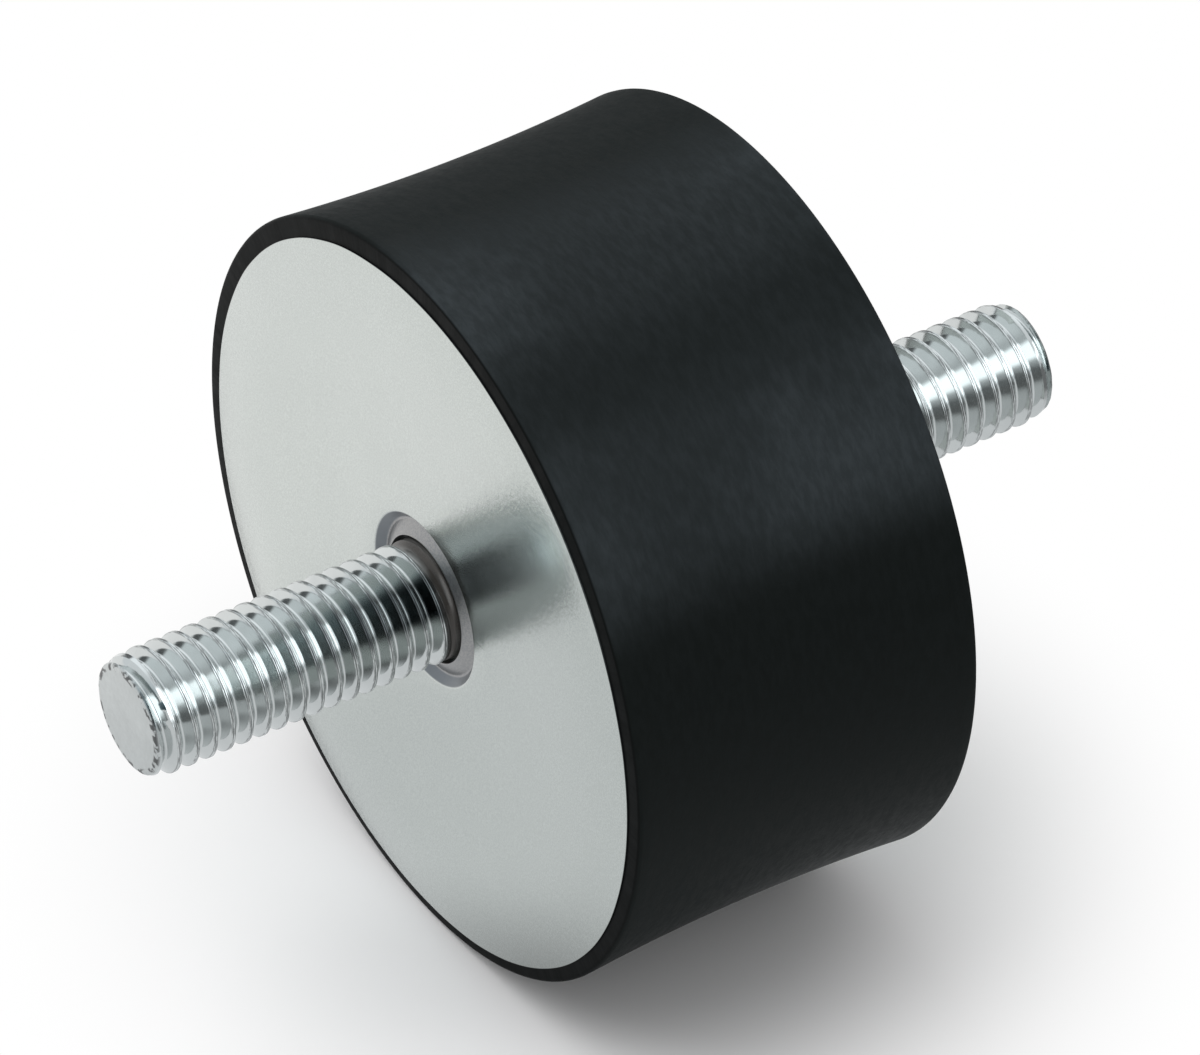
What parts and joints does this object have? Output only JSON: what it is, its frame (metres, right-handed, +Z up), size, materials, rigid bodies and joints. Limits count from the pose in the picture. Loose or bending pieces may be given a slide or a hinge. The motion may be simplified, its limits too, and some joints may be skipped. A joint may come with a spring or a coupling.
{
  "type": "bobbin vibration mount",
  "caption": "Cylindrical rubber vibration mount with flush steel end plates and a threaded stud at each end, side wall slightly waisted.",
  "frame": {"origin": "middle of the rubber body, on the axis of the studs", "axes": "+X along the common axis, from the front stud towards the rear stud; +Z up as it lies on its rims"},
  "size_m": [0.0654, 0.05, 0.05],
  "materials": {
    "rubber": "matt, faintly bloomed and scuffed",
    "plate_zinc": "satin bright zinc plating",
    "stud_zinc": "bright zinc plating"
  },
  "bodies": {
    "root": {"rubber_body": "rubber", "front_plate": "plate_zinc", "rear_plate": "plate_zinc", "front_stud": "stud_zinc", "rear_stud": "stud_zinc"}
  },
  "joints": []
}
